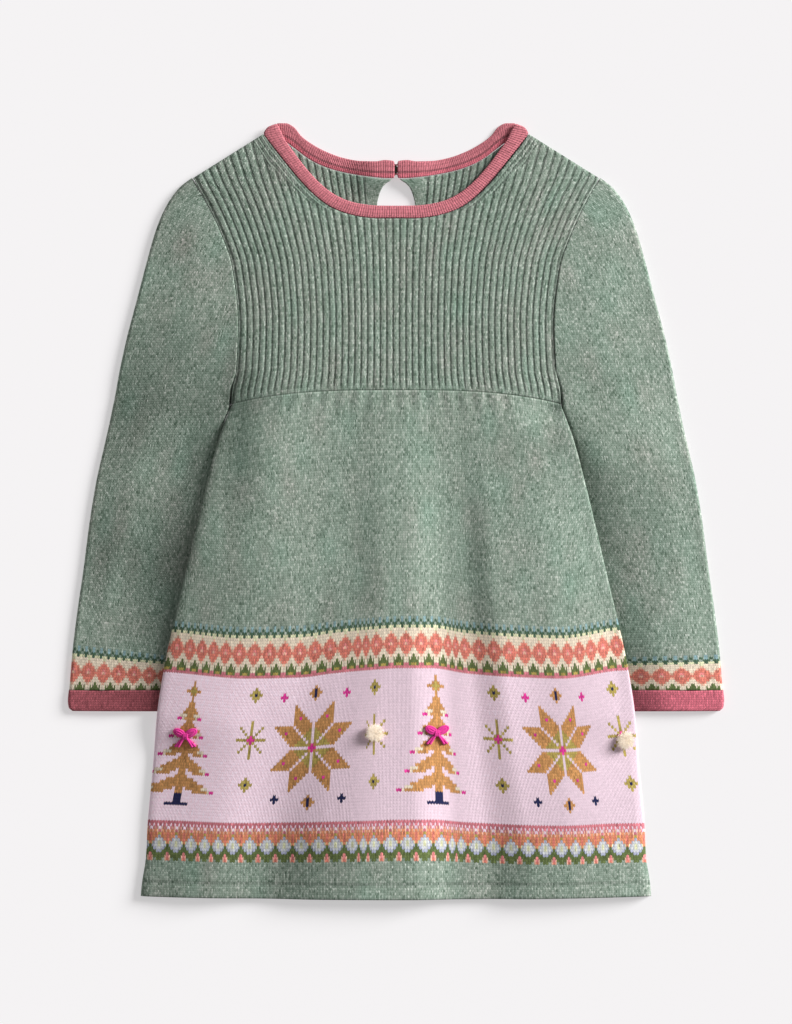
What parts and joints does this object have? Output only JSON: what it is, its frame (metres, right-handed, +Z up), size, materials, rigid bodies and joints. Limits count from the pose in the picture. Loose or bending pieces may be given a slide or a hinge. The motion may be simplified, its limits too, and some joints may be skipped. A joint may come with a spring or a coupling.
{
  "type": "fair isle sweater dress",
  "caption": "Child's long-sleeved knitted dress laid flat: ribbed yoke, flared skirt with patterned borders, neckband, keyhole back, cuffs and yarn trims.",
  "frame": {"origin": "middle of the underside, on the surface that the dress lies on", "axes": "+Z up from the surface, +Y towards the neck, +X towards the sleeve on the right of the picture"},
  "size_m": [0.4198, 0.4948, 0.0159],
  "materials": {
    "green_wool": "heathered sage green wool knit, matt",
    "rose_wool": "rose wool rib, matt",
    "cream_wool": "fluffy cream yarn",
    "magenta_wool": "magenta yarn",
    "button_plastic": "dyed green plastic"
  },
  "bodies": {
    "root": {"front_yoke": "green_wool", "back_yoke": "green_wool", "front_skirt": "green_wool", "back_skirt": "green_wool", "sleeve_left": "green_wool", "sleeve_right": "green_wool", "cuff_left": "rose_wool", "cuff_right": "rose_wool", "neckband_front": "rose_wool", "neckband_back_left": "rose_wool", "neckband_back_right": "rose_wool", "pompom_left": "cream_wool", "pompom_right": "cream_wool", "yarn_tie_left": "magenta_wool", "yarn_tie_right": "magenta_wool", "neck_button": "button_plastic", "button_loop": "rose_wool"}
  },
  "joints": []
}
